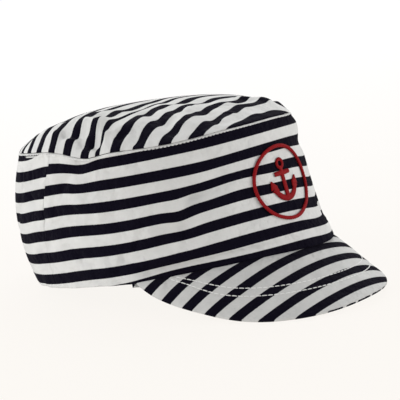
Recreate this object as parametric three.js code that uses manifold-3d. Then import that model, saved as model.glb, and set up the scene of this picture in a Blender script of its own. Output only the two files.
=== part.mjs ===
// A child's soft skipper cap, for a head of about 54 cm, lying on a flat surface as it would by itself.
// Millimetres, +Z up, the front of the cap towards -Y, the wearer's right side towards -X.
//
// The cap is worked out in its own frame, where the lower rim is the plane z = 0, and then tilts back
// on the surface, because the visor props up its front.
// Round the band a place is given by its turn in degrees from the front centre (the wearer's right is
// negative) and by its level in millimetres above the rim.

import * as THREE from 'three';
import { mergeVertices } from 'three/addons/utils/BufferGeometryUtils.js';
import Module from 'manifold-3d';

// Band
const rimHalfLength = 90.3;
const rimHalfWidth = 83.1;
const topHalfLength = 83.5;
const topHalfWidth = 79.2;
const bellyLength = 4.9;
const bellyWidth = 0.4;
const bellyBack = 6.5;
const topBack = 1.2;
const bandHeight = 75;
const backRise = 3.5;
const seamTurn = 104;
const cloth = 2;
const seamGap = 0.3;

// The band puffs over a firm hem above the visor
const hemTuck = 3.4;
const hemTop = 4.5;
const puffLow = 9;
const tuckFullTurn = 60;
const tuckEndTurn = 74;

// Top panel
const domeCentre = 18;
const domeSlope = 1.9;
const domeFall = 9.9;
const domeLean = 5.6;
const domeSideFall = 3;
const domeTwist = 3.2;
const domeShoulder = 3.2;
const domeEdge = 0.73;
const waveReach = 6;

// Visor
const visorEndTurn = 70.8;
const visorReach = 36.5;
const visorSteepness = 1.06;
const visorLift = 0.0043;
const visorCorner = 3.74;
const visorRound = 0.42;
const visorSettle = 8;
const visorThickness = 2.8;
const visorRootLand = 2;
const visorStartSlope = 0.35;
const visorLeast = 1.5;

// Embroidery on the front
const badgeLevel = 36.5;
const ringHalfWidth = 22.5;
const ringHalfHeight = 20.5;
const ropeWidth = 2.2;
const threadHeight = 0.8;
const threadGap = 0.3;

// How the cap lies
const tiltBack = 9.95;
const restLift = 14.55;
const restShift = 13.1;

// Waves of the seam round the top: where, how much it rises, and over what part of the turn
const seamWaves = [
  { turn: -101, rise: 2.0, span: 12 },
  { turn: -81, rise: -2.6, span: 8 },
  { turn: -20, rise: 1.2, span: 18 },
  { turn: 45, rise: -3.6, span: 11 },
  { turn: 104, rise: 1.2, span: 16 },
  { turn: 176, rise: -1.4, span: 18 },
];

// Folds in the band, each a soft valley from one place to another; a negative depth is a ridge
const bandFolds = [
  { turn0: -27, level0: 48, turn1: -41, level1: 41, depth: 1.4, width: 5 },
  { turn0: -41, level0: 41, turn1: -47, level1: 23, depth: 1.9, width: 5 },
  { turn0: -47, level0: 23, turn1: -71, level1: 12, depth: 1.3, width: 6 },
  { turn0: -53, level0: 52, turn1: -62, level1: 28, depth: -1.1, width: 9 },
  { turn0: -80, level0: 74, turn1: -92, level1: 58, depth: 2.2, width: 5 },
  { turn0: -103, level0: 72, turn1: -112, level1: 50, depth: 1.2, width: 5 },
  { turn0: -76, level0: 44, turn1: -84, level1: 47, depth: -1.2, width: 5 },
  { turn0: 22, level0: 54, turn1: 48, level1: 52, depth: 1.6, width: 5 },
  { turn0: 29, level0: 18, turn1: 34, level1: 6, depth: 1.4, width: 4 },
  { turn0: 62, level0: 60, turn1: 84, level1: 30, depth: 1.6, width: 7 },
  { turn0: 84, level0: 30, turn1: 98, level1: 14, depth: 1.2, width: 7 },
  { turn0: 146, level0: 62, turn1: 164, level1: 36, depth: 1.7, width: 7 },
  { turn0: 198, level0: 52, turn1: 214, level1: 26, depth: 1.5, width: 8 },
  { turn0: 176, level0: 30, turn1: 190, level1: 16, depth: -1.2, width: 8 },
];

// Folds in the top panel, from one place to another seen from above
const topFolds = [
  { x0: -63, y0: 30, x1: -63, y1: 2, depth: -2.7, width: 8 },
  { x0: -62, y0: -4, x1: -61, y1: -14, depth: -3.5, width: 4.6 },
  { x0: -57, y0: -14, x1: -66, y1: -26, depth: -1.8, width: 6.7 },
  { x0: -74, y0: -8, x1: -71, y1: -20, depth: 2.2, width: 3.3 },
  { x0: -48, y0: -10, x1: -14, y1: -14, depth: 1.2, width: 9 },
  { x0: -66, y0: -40, x1: -60, y1: -36, depth: 2.3, width: 3.4 },
  { x0: -50, y0: -54, x1: -40, y1: -30, depth: 1.7, width: 4.7 },
  { x0: -27, y0: -64, x1: -29, y1: -36, depth: 0.9, width: 5 },
  { x0: -22, y0: -58, x1: -18, y1: -46, depth: 1.2, width: 3.8 },
  { x0: -14, y0: -28, x1: -4, y1: -40, depth: 1.8, width: 6.8 },
  { x0: 0, y0: -70, x1: 24, y1: -66, depth: -2.5, width: 7.3 },
  { x0: -30, y0: 44, x1: 22, y1: 52, depth: 1.7, width: 9 },
  { x0: 40, y0: 34, x1: 66, y1: 8, depth: 1.4, width: 7 },
];

// Levels of the rows of the band, as far up as the full height at the seam
const bandLevels = [0, 2.4, 4.6, 6.6, 8.8, 12, 18, 25, 33, 41, 49, 57, 64, 70, 75];
const sideColumns = 56;
const backColumns = 40;
const domeRings = [0.14, 0.3, 0.45, 0.58, 0.7, 0.8, 0.88, 0.94, 0.98, 1];
const domeColumns = 68;
const visorColumns = 44;
const visorRows = 9;

const toRadians = THREE.MathUtils.degToRad;
const lerp = THREE.MathUtils.lerp;
const smoothstep = THREE.MathUtils.smoothstep;

// Cloth that would reach below the surface it lies on spreads flat on it
const floorNormal = new THREE.Vector3(0, -Math.sin(toRadians(tiltBack)), Math.cos(toRadians(tiltBack)));

function flatten(point) {
  const height = point.dot(floorNormal) + restLift;
  return height < 0 ? point.addScaledVector(floorNormal, -height) : point;
}

// How far a place lies from the middle line of a fold, with the fold's depth fading out at both ends
function foldDepth(along, across, length, fold) {
  const past = Math.max(0, -along, along - length);
  const away = Math.hypot(across, past);
  return fold.depth * Math.exp(-((away / fold.width) ** 2));
}

function lineDepth(px, py, x0, y0, x1, y1, fold) {
  const length = Math.hypot(x1 - x0, y1 - y0);
  const ux = (x1 - x0) / length;
  const uy = (y1 - y0) / length;
  const along = (px - x0) * ux + (py - y0) * uy;
  const across = (py - y0) * ux - (px - x0) * uy;
  return foldDepth(along, across, length, fold);
}

// Folds of the band are laid out on the unrolled cloth, where a degree of turn is this long
const degreeLength = toRadians((rimHalfLength + rimHalfWidth) / 2);

function bandFoldDepth(turn, level) {
  let depth = 0;
  for (const fold of bandFolds) {
    const middle = (fold.turn0 + fold.turn1) / 2;
    const nearest = turn - 360 * Math.round((turn - middle) / 360);
    depth += lineDepth(
      nearest * degreeLength, level,
      fold.turn0 * degreeLength, fold.level0, fold.turn1 * degreeLength, fold.level1, fold,
    );
  }
  return depth;
}

function seamWave(turn) {
  let rise = 0;
  for (const wave of seamWaves) {
    const away = turn - wave.turn - 360 * Math.round((turn - wave.turn) / 360);
    rise += wave.rise * Math.exp(-((away / wave.span) ** 2));
  }
  return rise;
}

const seamHeight = (turn) => bandHeight - backRise * Math.cos(toRadians(turn)) + seamWave(turn);

// Share of the hem's tuck at a turn: full above the visor and none behind its ends
const tuckAt = (turn) => hemTuck * (1 - smoothstep(Math.abs(turn), tuckFullTurn, tuckEndTurn));

// A point of the band: depth is how far it lies inside the outer face
function bandPoint(turn, level, depth) {
  const share = level / seamHeight(turn);
  const belly = 4 * share * (1 - share);
  const angle = toRadians(turn);
  const halfLength = lerp(rimHalfLength, topHalfLength, share) + bellyLength * belly;
  const halfWidth = lerp(rimHalfWidth, topHalfWidth, share) + bellyWidth * belly;
  const centre = topBack * share + bellyBack * belly;
  const tuck = tuckAt(turn) * (1 - smoothstep(level, hemTop, puffLow));
  const fade = smoothstep(level, 0, puffLow) * (1 - smoothstep(share, 0.96, 1));
  const inward = depth + tuck + bandFoldDepth(turn, level) * fade;
  const outward = new THREE.Vector2(Math.sin(angle) / halfWidth, -Math.cos(angle) / halfLength).normalize();
  return new THREE.Vector3(
    halfWidth * Math.sin(angle) - inward * outward.x,
    centre - halfLength * Math.cos(angle) - inward * outward.y,
    level,
  );
}

// A closed wall between two grids of points, joined round their edges
function wall(columns, rows, outer, inner) {
  const points = [];
  const faces = [];
  const width = columns + 1;
  const side = width * (rows + 1);
  for (const place of [outer, inner]) {
    for (let row = 0; row <= rows; row++) {
      for (let column = 0; column <= columns; column++) points.push(place(column, row));
    }
  }
  const quad = (a, b, c, d) => faces.push(a, b, c, a, c, d);
  for (let row = 0; row < rows; row++) {
    for (let column = 0; column < columns; column++) {
      const at = row * width + column;
      quad(at, at + 1, at + width + 1, at + width);
      quad(side + at, side + at + width, side + at + width + 1, side + at + 1);
    }
  }
  for (let column = 0; column < columns; column++) {
    const last = rows * width + column;
    quad(side + column, side + column + 1, column + 1, column);
    quad(last, last + 1, side + last + 1, side + last);
  }
  for (let row = 0; row < rows; row++) {
    const first = row * width;
    const last = first + columns;
    quad(first, first + width, side + first + width, side + first);
    quad(side + last, side + last + width, last + width, last);
  }
  return solid(points, faces);
}

// A closed body swept from one closed section to the next, with flat ends
function sweep(sections, closed = false) {
  const corners = sections[0].length;
  const points = sections.flat();
  const faces = [];
  const spans = closed ? sections.length : sections.length - 1;
  for (let step = 0; step < spans; step++) {
    const here = step * corners;
    const next = ((step + 1) % sections.length) * corners;
    for (let corner = 0; corner < corners; corner++) {
      const other = (corner + 1) % corners;
      faces.push(here + corner, next + corner, next + other, here + corner, next + other, here + other);
    }
  }
  if (!closed) {
    const last = (sections.length - 1) * corners;
    for (const [a, b, c] of endFaces(sections[0])) faces.push(a, b, c);
    for (const [a, b, c] of endFaces(sections.at(-1))) faces.push(last + a, last + c, last + b);
  }
  return solid(points, faces);
}

// A section is a strip between its upper and its lower edge, so its end is cut into a ladder of faces
function endFaces(section) {
  const faces = [];
  let low = 0;
  let high = section.length - 1;
  while (high - low > 1) {
    faces.push([low, low + 1, high]);
    low += 1;
    if (high - low > 1) faces.push([low, high - 1, high]);
    high -= 1;
  }
  return faces;
}

// Faces turn outward when the volume that they enclose is positive
function solid(points, faces) {
  let volume = 0;
  for (let at = 0; at < faces.length; at += 3) {
    const [a, b, c] = [points[faces[at]], points[faces[at + 1]], points[faces[at + 2]]];
    volume += a.dot(new THREE.Vector3().crossVectors(b, c));
  }
  if (volume < 0) {
    for (let at = 0; at < faces.length; at += 3) {
      [faces[at + 1], faces[at + 2]] = [faces[at + 2], faces[at + 1]];
    }
  }
  const geometry = new THREE.BufferGeometry();
  geometry.setAttribute('position', new THREE.Float32BufferAttribute(points.flatMap((p) => p.toArray()), 3));
  geometry.setIndex(faces);
  return mergeVertices(geometry, 1e-4);
}

// A length of the band between two turns
function bandPanel(fromTurn, toTurn, columns) {
  const rows = bandLevels.length - 1;
  const place = (depth) => (column, row) => {
    const turn = lerp(fromTurn, toTurn, column / columns);
    const level = (bandLevels[row] * seamHeight(turn)) / bandHeight;
    return flatten(bandPoint(turn, level, depth));
  };
  return wall(columns, rows, place(0), place(cloth));
}

// The top panel: a low dome with round shoulders, fuller on the wearer's right and behind
function topFoldDepth(x, y) {
  let depth = 0;
  for (const fold of topFolds) depth += lineDepth(x, y, fold.x0, fold.y0, fold.x1, fold.y1, fold);
  return depth;
}

function domePoint(turn, ring, inset) {
  const angle = toRadians(turn);
  const x = ring * (topHalfWidth - inset) * Math.sin(angle);
  const back = -ring * (topHalfLength - inset) * Math.cos(angle);
  const ahead = back / topHalfLength;
  const aside = x / topHalfWidth;
  const fall = domeFall * ahead * ahead + domeSideFall * aside * aside + domeTwist * ahead * aside;
  const height = domeCentre - domeSlope * ahead - domeLean * aside - fall;
  const shell = (height - inset) * Math.max(0, 1 - ring ** domeShoulder) ** domeEdge;
  const seam = bandHeight + backRise * ahead + seamWave(turn) * ring ** waveReach;
  const fade = 1 - smoothstep(ring, 0.92, 1);
  const fold = topFoldDepth(x, back + topBack) * fade;
  return new THREE.Vector3(x, back + topBack, seam + seamGap + shell - fold);
}

function topPanel() {
  const points = [];
  const faces = [];
  const skin = domeRings.length * domeColumns + 1;
  for (const inset of [0, cloth]) {
    points.push(domePoint(0, 0, inset));
    for (const ring of domeRings) {
      for (let column = 0; column < domeColumns; column++) {
        points.push(domePoint((360 * column) / domeColumns - 180, ring, inset));
      }
    }
  }
  for (let column = 0; column < domeColumns; column++) {
    const next = (column + 1) % domeColumns;
    faces.push(0, 1 + column, 1 + next);
    faces.push(skin, skin + 1 + next, skin + 1 + column);
    for (let ring = 1; ring < domeRings.length; ring++) {
      const near = 1 + (ring - 1) * domeColumns;
      const far = near + domeColumns;
      faces.push(near + column, far + column, far + next, near + column, far + next, near + next);
      faces.push(skin + near + column, skin + far + next, skin + far + column);
      faces.push(skin + near + column, skin + near + next, skin + far + next);
    }
    const rim = 1 + (domeRings.length - 1) * domeColumns;
    faces.push(rim + column, skin + rim + column, skin + rim + next);
    faces.push(rim + column, skin + rim + next, rim + next);
  }
  return solid(points, faces);
}

// The visor runs straight forward from the hem: run is how far, and its drop is steep at first reach
// and eases towards the edge
function visorDrop(run, lag) {
  const reached = run - lag;
  const steep = (length) => visorSteepness * length - visorLift * length * length;
  if (reached >= visorSettle) return steep(reached);
  const span = lag + visorSettle;
  const end = steep(visorSettle);
  const endSlope = (visorSteepness - 2 * visorLift * visorSettle) * span;
  const t = run / span;
  const rise = visorStartSlope * span * (t ** 3 - 2 * t ** 2 + t);
  return rise + end * (3 * t ** 2 - 2 * t ** 3) + endSlope * (t ** 3 - t ** 2);
}

function visorSection(turn) {
  const angle = toRadians(turn);
  const tuck = tuckAt(turn);
  const x = (rimHalfWidth - tuck) * Math.sin(angle);
  const root = -(rimHalfLength - tuck) * Math.cos(angle);
  const rim = -rimHalfLength * Math.sqrt(1 - (x / rimHalfWidth) ** 2);
  const lag = Math.max(0, root - rim);
  const end = (rimHalfWidth - tuckAt(visorEndTurn)) * Math.sin(toRadians(visorEndTurn));
  const share = Math.max(0, 1 - Math.abs(x / end) ** visorCorner) ** visorRound;
  const length = Math.max(visorLeast, (lag + visorReach) * share);
  const upper = [new THREE.Vector3(x, root + visorRootLand, -seamGap)];
  const lower = [new THREE.Vector3(x, root + visorRootLand, -seamGap - visorThickness)];
  for (let row = 0; row <= visorRows; row++) {
    const run = (length * row) / visorRows;
    const drop = visorDrop(run, lag);
    const slope = Math.atan2(visorDrop(run + 0.1, lag) - drop, 0.1);
    const thick = row === 0 ? 0 : visorThickness;
    upper.push(new THREE.Vector3(x, root - run, -seamGap - drop));
    lower.push(new THREE.Vector3(
      x,
      root - run + thick * Math.sin(slope),
      -seamGap - drop - visorThickness * (row === 0 ? 1 : Math.cos(slope)),
    ));
  }
  return [...upper, ...lower.reverse()];
}

function visorPlate() {
  const sections = [];
  for (let column = 0; column <= visorColumns; column++) {
    const even = (2 * column) / visorColumns - 1;
    sections.push(visorSection(visorEndTurn * Math.sin((even * Math.PI) / 2)));
  }
  return sweep(sections);
}

// A place on the front of the band, by how far it lies across from the centre line
function frontPoint(across, level, height) {
  const share = level / seamHeight(0);
  const halfWidth = lerp(rimHalfWidth, topHalfWidth, share) + bellyWidth * 4 * share * (1 - share);
  return bandPoint(THREE.MathUtils.radToDeg(Math.asin(across / halfWidth)), level, -height);
}

// A raised line of thread along a path of places, each with its own width
function threadLine(path, closed = false) {
  const sections = path.map((place, at) => {
    const before = path[closed ? (at + path.length - 1) % path.length : Math.max(0, at - 1)];
    const after = path[closed ? (at + 1) % path.length : Math.min(path.length - 1, at + 1)];
    const length = Math.hypot(after.across - before.across, after.level - before.level);
    const sideways = (-(after.level - before.level) / length) * (place.width / 2);
    const upward = ((after.across - before.across) / length) * (place.width / 2);
    const corner = (sign, height) => frontPoint(
      place.across + sign * sideways, badgeLevel + place.level + sign * upward, height,
    );
    const top = threadGap + threadHeight;
    return [corner(1, threadGap), corner(1, top), corner(-1, top), corner(-1, threadGap)];
  });
  return sweep(sections, closed);
}

function ropeRing() {
  const steps = 60;
  const path = [];
  for (let step = 0; step < steps; step++) {
    const angle = (2 * Math.PI * step) / steps;
    path.push({
      across: ringHalfWidth * Math.sin(angle),
      level: ringHalfHeight * Math.cos(angle),
      width: ropeWidth,
    });
  }
  return threadLine(path, true);
}

// The anchor's strokes about the middle of the ring; a stroke runs through its places in order
const anchorStrokes = {
  shank: [
    { across: 0, level: 8.5, width: 2.6 }, { across: 0, level: 3, width: 2.8 },
    { across: 0, level: -3, width: 3 }, { across: 0, level: -8.6, width: 3.4 },
  ],
  stock: [
    { across: -6.6, level: 5.2, width: 2.2 }, { across: -2.2, level: 5.2, width: 2.6 },
    { across: 2.2, level: 5.2, width: 2.6 }, { across: 6.6, level: 5.2, width: 2.2 },
  ],
  rightFluke: [
    { across: -7.2, level: -4.6, width: 2.6 }, { across: -9.4, level: -2.2, width: 5.6 },
    { across: -10.6, level: 1.8, width: 0.8 },
  ],
  leftFluke: [
    { across: 7.2, level: -4.6, width: 2.6 }, { across: 9.4, level: -2.2, width: 5.6 },
    { across: 10.6, level: 1.8, width: 0.8 },
  ],
};
const anchorArm = { radius: 9.6, centreLevel: 0.4, sweep: 62, width: 3.2, steps: 12 };
const anchorEye = { radius: 2.5, level: 10.6, width: 1.7, steps: 16 };

function arcPath({ radius, level, width, steps }, fromAngle, toAngle, closed) {
  const path = [];
  for (let step = 0; step < steps + (closed ? 0 : 1); step++) {
    const angle = toRadians(lerp(fromAngle, toAngle, step / steps));
    path.push({ across: radius * Math.sin(angle), level: level + radius * Math.cos(angle), width });
  }
  return path;
}

const wasm = await Module();
wasm.setup();

function toManifold(geometry) {
  const triVerts = Uint32Array.from(geometry.index.array);
  const vertProperties = Float32Array.from(geometry.attributes.position.array);
  return new wasm.Manifold(new wasm.Mesh({ numProp: 3, vertProperties, triVerts }));
}

function toGeometry(manifold) {
  const mesh = manifold.getMesh();
  const geometry = new THREE.BufferGeometry();
  geometry.setAttribute('position', new THREE.BufferAttribute(mesh.vertProperties, 3));
  geometry.setIndex(new THREE.BufferAttribute(mesh.triVerts, 1));
  return geometry;
}

function anchor() {
  const arm = { ...anchorArm, level: anchorArm.centreLevel };
  const lines = Object.values(anchorStrokes).map((path) => threadLine(path));
  lines.push(threadLine(arcPath(arm, 180 - arm.sweep, 180 + arm.sweep, false)));
  lines.push(threadLine(arcPath(anchorEye, 0, 360, true), true));
  return toGeometry(lines.map(toManifold).reduce((whole, line) => whole.add(line)));
}

const stripedCotton = { color: 0xb9bac2, roughness: 0.9, metalness: 0 };
const redThread = { color: 0xa51b22, roughness: 0.6, metalness: 0 };

function piece(name, geometry, look) {
  geometry.computeVertexNormals();
  const mesh = new THREE.Mesh(geometry, new THREE.MeshStandardMaterial(look));
  mesh.name = name;
  return mesh;
}

const joinTurn = THREE.MathUtils.radToDeg(seamGap / 2 / rimHalfWidth);

const cap = new THREE.Group();
cap.add(
  piece('crown_top', topPanel(), stripedCotton),
  piece('side_panel', bandPanel(-seamTurn + joinTurn, seamTurn - joinTurn, sideColumns), stripedCotton),
  piece('back_panel', bandPanel(seamTurn + joinTurn, 360 - seamTurn - joinTurn, backColumns), stripedCotton),
  piece('visor', visorPlate(), stripedCotton),
  piece('embroidery_ring', ropeRing(), redThread),
  piece('embroidery_anchor', anchor(), redThread),
);
cap.rotation.x = -toRadians(tiltBack);
cap.position.set(0, restShift, restLift);

const part = new THREE.Group();
part.add(cap);
part.updateMatrixWorld(true);

export default part;
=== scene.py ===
# A child's striped cotton skipper cap, lying on a pale floor.
import math

import bmesh
import bpy
import numpy as np
from mathutils import Matrix, Vector


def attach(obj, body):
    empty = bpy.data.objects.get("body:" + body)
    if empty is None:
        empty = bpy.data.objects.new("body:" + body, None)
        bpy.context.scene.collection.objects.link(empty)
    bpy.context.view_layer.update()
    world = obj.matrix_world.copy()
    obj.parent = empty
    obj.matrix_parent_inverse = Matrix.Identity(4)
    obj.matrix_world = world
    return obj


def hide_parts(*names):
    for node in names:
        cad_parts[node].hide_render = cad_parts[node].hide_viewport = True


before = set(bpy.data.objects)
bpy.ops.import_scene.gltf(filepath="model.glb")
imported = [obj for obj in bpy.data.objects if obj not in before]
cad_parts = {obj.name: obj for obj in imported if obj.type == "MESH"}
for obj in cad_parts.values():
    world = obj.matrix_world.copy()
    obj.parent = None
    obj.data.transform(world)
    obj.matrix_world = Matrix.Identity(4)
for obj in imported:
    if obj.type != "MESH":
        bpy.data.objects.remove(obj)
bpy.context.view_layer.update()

mm = 0.001

# The cap is drawn in its own frame, in millimetres: the rim is the plane z = 0 and the front looks to -Y.
# A place on the band is its turn in degrees from the front (the wearer's right is negative) and its level.
capLie = {"tiltBack": 9.95, "lift": 14.55, "shift": 13.1}


# Small helpers, used all over
def ease(value, low, high):
    share = np.clip((value - low) / (high - low), 0, 1)
    return share * share * (3 - 2 * share)


def mix(low, high, share):
    return low + (high - low) * share


def hill(value, centre, span):
    return np.exp(-(((value - centre) / span) ** 2))


def nearTurn(turn, centre):
    return turn - centre - 360 * np.round((turn - centre) / 360)


def unit(vectors):
    return vectors / np.maximum(np.linalg.norm(vectors, axis=-1, keepdims=True), 1e-12)


def lieDown(points):
    # from the cap's own frame to metres on the floor; cloth that would sink below it spreads flat
    tilt = math.radians(capLie["tiltBack"])
    x, y, z = np.moveaxis(np.asarray(points, float), -1, 0)
    back = y * math.cos(tilt) + z * math.sin(tilt) + capLie["shift"]
    height = z * math.cos(tilt) - y * math.sin(tilt) + capLie["lift"]
    return np.stack([x, back, np.maximum(height, 0)], -1) * mm


def foldDepth(x, y, folds):
    # soft valleys along straight lines that fade past both ends; a negative depth is a ridge
    depth = np.zeros(np.broadcast(x, y).shape)
    for (x0, y0), (x1, y1), deep, wide in folds:
        length = math.hypot(x1 - x0, y1 - y0)
        along = ((x - x0) * (x1 - x0) + (y - y0) * (y1 - y0)) / length
        across = ((y - y0) * (x1 - x0) - (x - x0) * (y1 - y0)) / length
        past = np.maximum(0, np.maximum(-along, along - length))
        depth = depth + deep * np.exp(-(across**2 + past**2) / wide**2)
    return depth


def ripple(value, waves):
    # an uneven wave: each part has a length, a size and a start
    return sum(size * np.sin(2 * np.pi * value / length + start) for length, size, start in waves)


def makePiece(name, points, faces, cloth, material):
    # cloth gives each point its place along and across the stripes, and 1 where the cloth is all white
    mesh = bpy.data.meshes.new(name)
    mesh.from_pydata(lieDown(points).reshape(-1, 3).tolist(), [], [list(face) for face in faces])
    if cloth is not None:
        spread = mesh.attributes.new("cloth", "FLOAT_VECTOR", "POINT")
        spread.data.foreach_set("vector", np.asarray(cloth, np.float32).ravel())
    tidy = bmesh.new()
    tidy.from_mesh(mesh)
    bmesh.ops.recalc_face_normals(tidy, faces=tidy.faces)
    tidy.to_mesh(mesh)
    tidy.free()
    mesh.shade_smooth()
    mesh.materials.append(material)
    piece = bpy.data.objects.new(name, mesh)
    bpy.context.scene.collection.objects.link(piece)
    print("made", name, "with", len(mesh.polygons), "faces")
    return piece


def loopWall(columns, corners, ends):
    # faces of a wall whose cross-sections are closed loops; its two ends are closed by ladders of faces
    faces = []
    for column in range(columns - 1):
        here, there = column * corners, (column + 1) * corners
        for corner in range(corners):
            after = (corner + 1) % corners
            faces.append((here + corner, there + corner, there + after, here + after))
    if ends:
        half = corners // 2
        for base in (0, (columns - 1) * corners):
            faces.append((base, base + 1, base + corners - 1))
            for step in range(1, half - 1):
                faces.append((base + step, base + step + 1, base + corners - step - 1, base + corners - step))
            faces.append((base + half - 1, base + half, base + half + 1))
    return faces


# How the cloth is striped: pitch and dark are widths in millimetres, and the last number scales the white;
# below 1 it is painted shade that darkens the whites
bandStripes = {
    "pitch": 11.82, "dark": 5.75, "top": 69.0, "frontRise": 3.02, "sideRise": -0.63, "paintedShadeScale": 1.0,
    "jog": 0.7, "jogReach": 6, "jogStart": 28, "jogFull": 54,  # the step at the join grows between two levels
}
topStripes = {"pitch": 12.08, "dark": 5.57, "start": 3.42, "paintedShadeScale": 1.0, "lastDark": 7, "lastDepth": 5}
# the visor's whites are darkened as painted shade, for the shade the visor lies in under the band
visorStripes = {"pitch": 11.82, "dark": 5.44, "start": 1.4, "slant": 46.64, "paintedShadeScale": 0.87}


# The band
bandCut = {  # half lengths run from front to back, half widths from side to side; rows crowd at the top
    "rimHalfLength": 90.3, "rimHalfWidth": 83.1, "topHalfLength": 83.5, "topHalfWidth": 79.2,
    "bellyLength": 4.9, "bellyWidth": 0.4, "bellyBack": 6.5, "topBack": 1.2,
    "height": 75, "backRise": 3.5, "joinTurn": 104, "joinLean": 5, "cloth": 2.0, "gap": 0.3, "joinGap": 0.06,
    "hemTuck": 3.4, "hemTop": 4.5, "puffLow": 9, "tuckFull": 60, "tuckEnd": 74, "foldEnd": 0.96,
    "sideColumns": 330, "backColumns": 240, "rows": 84, "topCrowd": 1.4, "edgeSteps": 4,
}
seamWaves = [  # turn, rise, span
    (-118, 1.3, 14), (-101, 2.0, 12), (-81, -2.6, 8), (-52, -1.2, 22), (-20, 1.2, 18), (2, 1.3, 14),
    (45, -3.6, 11), (104, 1.2, 16), (176, -1.4, 18),
]
bandFolds = [  # start turn and level, end turn and level, depth, width
    ((-27, 48), (-41, 41), 1.4, 5), ((-41, 41), (-47, 23), 1.9, 5), ((-47, 23), (-71, 12), 1.3, 6),
    ((-53, 52), (-62, 28), -1.1, 9), ((-80, 74), (-92, 58), 2.2, 5), ((-103, 72), (-112, 50), 1.2, 5),
    ((-76, 44), (-84, 47), -1.2, 5), ((22, 54), (48, 52), 1.6, 5), ((29, 18), (34, 6), 1.4, 4),
    ((62, 60), (84, 30), 1.6, 7), ((84, 30), (98, 14), 1.2, 7), ((146, 62), (164, 36), 1.7, 7),
    ((198, 52), (214, 26), 1.5, 8), ((176, 30), (190, 16), -1.2, 8),
]
bandCreases = [  # finer than the folds
    ((-118, 60), (-110, 49), 1.2, 1.7), ((-94, 24), (-84, 12), 0.9, 2.0), ((-66, 19), (-60, 30), 0.9, 1.9),
    ((-72, 14), (-64, 4), 1.1, 1.9), ((-90, 46), (-78, 49), -0.8, 2.4), ((-56, 16), (-47, 9), 0.7, 2.0),
    ((-104, 40), (-92, 34), 0.9, 2.0), ((-44, 40), (-34, 46), 0.7, 2.2), ((-112, 20), (-102, 26), 0.8, 2.2),
    ((33, 26), (34, 10), 1.3, 1.7), ((-12, 22), (8, 20), 0.35, 3.5), ((-30, 14), (-12, 11), 0.4, 2.6),
    ((40, 66), (58, 44), 0.7, 3.0), ((70, 40), (96, 36), 0.6, 3.0), ((110, 60), (124, 30), 0.9, 3.5),
    ((132, 20), (150, 34), 0.7, 3.0), ((168, 66), (182, 48), 0.8, 3.5), ((222, 30), (238, 52), 0.8, 3.0),
    ((-122, 69), (-120, 58), 1.1, 1.6), ((-112, 71), (-111, 62), 1.0, 1.5), ((-98, 60), (-96, 44), 0.8, 1.9),
]
turnedEdge = {  # the band's cloth turns over at the seam and stands out there, all white down to a line
    "middle": 0.5, "span": 1.1, "out": 0.55, "white": 0.8, "fade": 0.25,
}
seamStitches = {  # they run just under the turned edge, in a small dent
    "inset": 0.9, "dent": 0.12, "dentSpan": 0.4, "pitch": 2.2, "length": 1.5, "radius": 0.2, "sunk": 0.06,
    "places": 1441,
}
seamTuck = {  # a small tuck under the seam shows as a white line
    "turn": -111, "reach": 6, "endFade": 2, "below": 1.9, "half": 0.2, "halfFade": 0.6,
}
# the puckers fade away from the seam and the hem; each wave has a length, a size and a start
seamPuckers = {"reach": 6, "waves": [(7.1, 0.16, 0.4), (4.7, 0.12, 2.1), (11.9, 0.14, 4.4)]}
hemPuckers = {"reach": 7, "waves": [(23.0, 0.35, 1.1), (13.7, 0.22, 3.6)]}
joinStep = {  # at the join the back panel lies in and the side panel stands out, less so near the rim
    "in": 0.35, "out": 0.3, "reach": 2.6, "lowShare": 0.45, "growStart": 24, "growEnd": 54,
}
frontHem = {  # the hem hangs over the visor at the front; a higher power keeps the drop closer to the hem
    "turn": 24, "reach": 34, "drop": 4.4, "out": 5.2, "power": 8,
}
nearHem = {"turn": -68, "reach": 12, "drop": 0.9}  # and a little at the visor's near end
cornerRoll = {  # the band's top edge rolls in at the front left, and the top panel goes with it
    "turn": 40, "reach": 16, "in": 3.8, "down": 4.2, "topPower": 5,
}
turnLength = math.radians((bandCut["rimHalfLength"] + bandCut["rimHalfWidth"]) / 2)  # of one degree, about


def seamHeight(turn):
    cut = bandCut
    height = cut["height"] - cut["backRise"] * np.cos(np.radians(turn))
    return height + sum(rise * hill(nearTurn(turn, at), 0, span) for at, rise, span in seamWaves)


def rolledIn(turn):
    return cornerRoll["in"] * hill(nearTurn(turn, cornerRoll["turn"]), 0, cornerRoll["reach"])


def tuckShare(turn):
    return 1 - ease(np.abs(nearTurn(turn, 0)), bandCut["tuckFull"], bandCut["tuckEnd"])


def frontHemShare(turn):
    return hill(nearTurn(turn, frontHem["turn"]), 0, frontHem["reach"])


def bandFoldDepth(turn, level, folds):
    depth = 0
    for start, end, deep, wide in folds:
        centre = (start[0] + end[0]) / 2
        near, far = ((at - centre) * turnLength for at in (start[0], end[0]))
        fold = ((near, start[1]), (far, end[1]), deep, wide)
        depth = depth + foldDepth(nearTurn(turn, centre) * turnLength, level, [fold])
    return depth


def joinAt(level):
    # the two panels of the band join on a line that leans back a little towards the rim
    return bandCut["joinTurn"] + bandCut["joinLean"] * (1 - 2 * level / bandCut["height"])


def pastJoin(turn, level):
    # millimetres behind the nearer join; less than 0 on the side panel
    return (np.abs(nearTurn(turn, 0)) - joinAt(level)) * turnLength


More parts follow.
